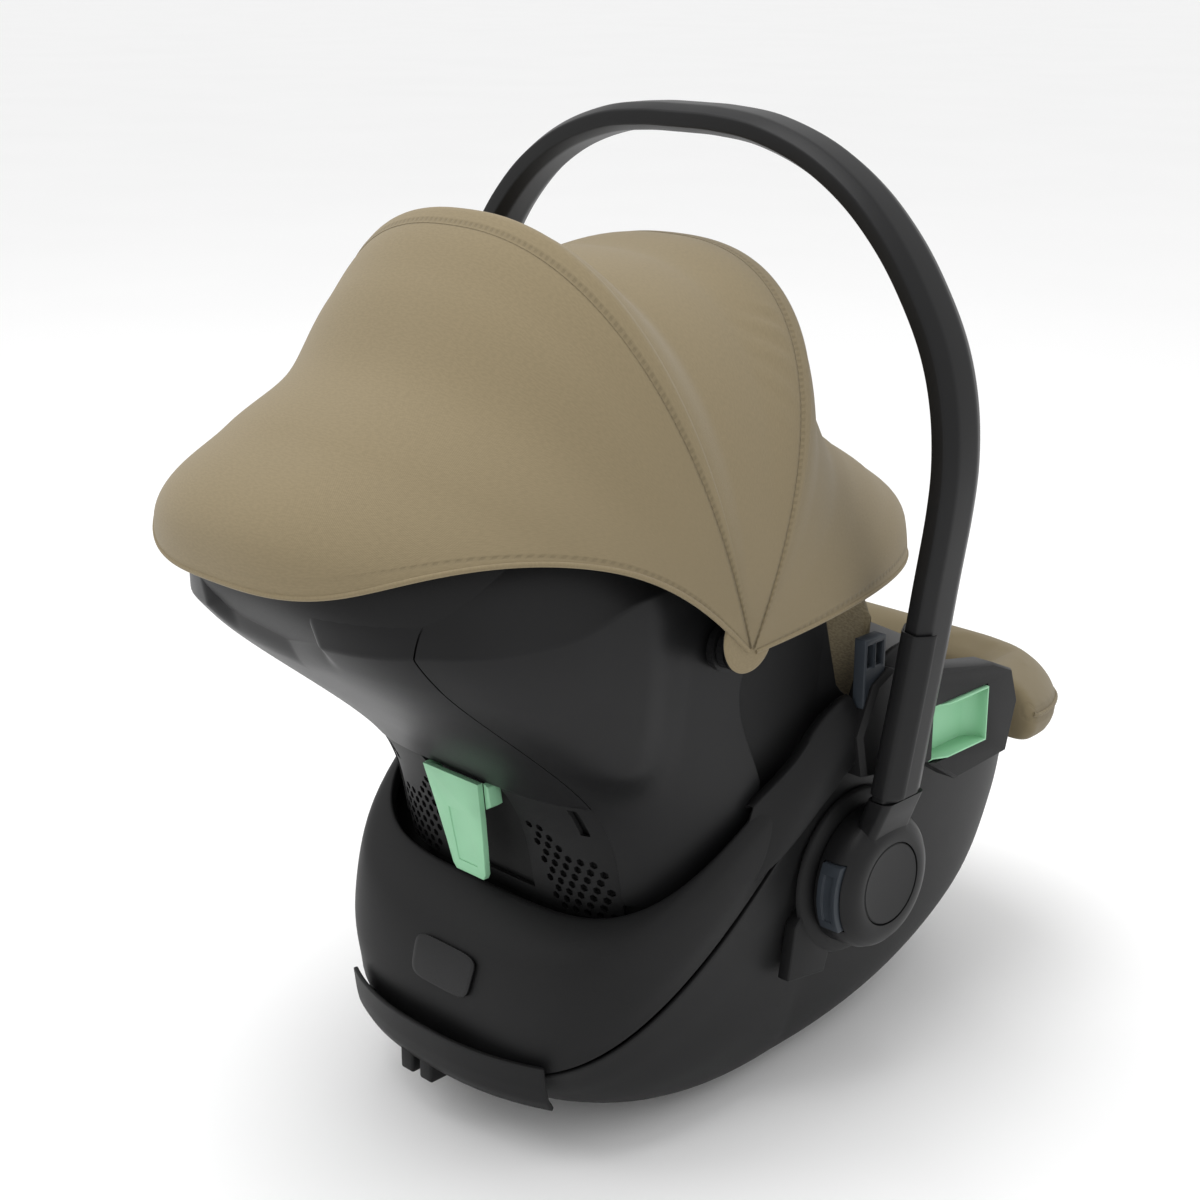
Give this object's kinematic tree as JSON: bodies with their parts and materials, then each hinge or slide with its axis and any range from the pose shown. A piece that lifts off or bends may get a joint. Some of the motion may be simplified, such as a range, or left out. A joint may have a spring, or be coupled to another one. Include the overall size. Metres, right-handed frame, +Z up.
{
  "type": "infant car seat",
  "caption": "Rear-facing infant carrier: moulded shell with a folding fabric canopy, an arched carry handle on side hubs, belt guides and a padded, harnessed seat.",
  "frame": {"origin": "on the ground, midway between the hubs and directly below the axis the carry handle turns on", "axes": "+X towards the child's left, +Y towards the head end, +Z up"},
  "size_m": [0.4334, 0.6486, 0.6198],
  "materials": {
    "shell_black": "fine grained moulded black",
    "satin_black": "satin black",
    "button_grey": "satin blue-grey",
    "belt_green": "satin mint green",
    "foam_grey": "matt expanded foam",
    "khaki_canopy": "plain woven khaki",
    "khaki_melange": "flecked khaki",
    "webbing_grey": "matt dark grey",
    "buckle_red": "satin red",
    "foot_rubber": "matt",
    "steel": "brushed",
    "badge_grey": "satin dark grey, blank"
  },
  "bodies": {
    "carrier": {"badge": "badge_grey", "base_sole": "foot_rubber", "buckle": "webbing_grey", "canopy_pivot_left": "satin_black", "canopy_pivot_right": "satin_black", "canopy_rear": "khaki_canopy", "collar_band": "shell_black", "crotch_strap": "webbing_grey", "foam_liner": "foam_grey", "foot_pad": "khaki_melange", "harness_adjuster": "shell_black", "head_shell_centre": "satin_black", "head_shell_left": "satin_black", "head_shell_right": "satin_black", "hub_housing_left": "shell_black", "hub_housing_right": "shell_black", "lock_ring_left": "steel", "lock_ring_right": "steel", "lower_shell": "shell_black", "pivot_pin_left": "steel", "pivot_pin_right": "steel", "rear_belt_hook": "belt_green", "rear_bumper": "shell_black", "rear_cover": "satin_black", "rim_housing_left": "shell_black", "rim_housing_right": "shell_black", "seat_cover": "khaki_melange", "seat_cushion": "khaki_melange", "seat_tub": "shell_black", "shoulder_pad_left": "khaki_melange", "shoulder_pad_right": "khaki_melange", "shoulder_strap_left": "webbing_grey", "shoulder_strap_right": "webbing_grey", "side_belt_guide_left": "belt_green", "side_belt_guide_right": "belt_green", "tongue_left": "steel", "tongue_right": "steel"},
    "handle_assembly": {"handle": "satin_black", "hub_head_left": "satin_black", "hub_head_right": "satin_black", "hub_cap_left": "satin_black", "hub_cap_right": "satin_black", "leg_insert_left": "button_grey", "leg_insert_right": "button_grey", "button_spring_left": "steel", "button_spring_right": "steel"},
    "release_button_left": {"release_button_left": "button_grey"},
    "release_button_right": {"release_button_right": "button_grey"},
    "rim_clip_left": {"rim_clip_left": "button_grey"},
    "rim_clip_right": {"rim_clip_right": "button_grey"},
    "rear_bow_section": {"rear_bow": "satin_black", "canopy_middle": "khaki_canopy"},
    "front_bow_section": {"front_bow": "satin_black", "canopy_visor": "khaki_canopy"},
    "visor_section": {"visor_wire": "steel"},
    "headrest": {"headrest": "khaki_melange"},
    "buckle_button": {"buckle_button": "buckle_red"},
    "adjuster_button": {"adjuster_button": "button_grey"}
  },
  "joints": [
    {"name": "handle_turn", "type": "hinge", "parent": "carrier", "child": "handle_assembly", "pos_m": [0, 0, 0.15], "axis": [1, 0, 0], "range_deg": [0, 100]},
    {"name": "release_button_left_press", "type": "slide", "parent": "handle_assembly", "child": "release_button_left", "axis": [0, -1, 0], "range_m": [0, 0.003], "stiffness_N_per_m": 900, "deforming": ["button_spring_left"]},
    {"name": "release_button_right_press", "type": "slide", "parent": "handle_assembly", "child": "release_button_right", "axis": [0, -1, 0], "range_m": [0, 0.003], "stiffness_N_per_m": 900, "deforming": ["button_spring_right"]},
    {"name": "rim_clip_left_pull", "type": "slide", "parent": "carrier", "child": "rim_clip_left", "axis": [0, 0, 1], "range_m": [0, 0.006], "stiffness_N_per_m": 600},
    {"name": "rim_clip_right_pull", "type": "slide", "parent": "carrier", "child": "rim_clip_right", "axis": [0, 0, 1], "range_m": [0, 0.006], "stiffness_N_per_m": 600},
    {"name": "rear_bow_fold", "type": "hinge", "parent": "carrier", "child": "rear_bow_section", "pos_m": [0, 0.13, 0.335], "axis": [-1, 0, 0], "range_deg": [0, 34], "deforming": ["canopy_rear"]},
    {"name": "front_bow_fold", "type": "hinge", "parent": "rear_bow_section", "child": "front_bow_section", "pos_m": [0, 0.13, 0.335], "axis": [-1, 0, 0], "range_deg": [0, 38], "deforming": ["canopy_middle"]},
    {"name": "visor_fold", "type": "hinge", "parent": "front_bow_section", "child": "visor_section", "pos_m": [0, 0.13, 0.335], "axis": [-1, 0, 0], "range_deg": [0, 38], "deforming": ["canopy_visor"]},
    {"name": "headrest_slide", "type": "slide", "parent": "carrier", "child": "headrest", "axis": [0, 0.6601, 0.7511], "range_m": [0, 0.02]},
    {"name": "buckle_button_press", "type": "slide", "parent": "carrier", "child": "buckle_button", "axis": [0, 0, -1], "range_m": [0, 0.003], "stiffness_N_per_m": 900},
    {"name": "adjuster_button_press", "type": "slide", "parent": "carrier", "child": "adjuster_button", "axis": [0, -0.7265, -0.6871], "range_m": [0, 0.003], "stiffness_N_per_m": 900}
  ]
}
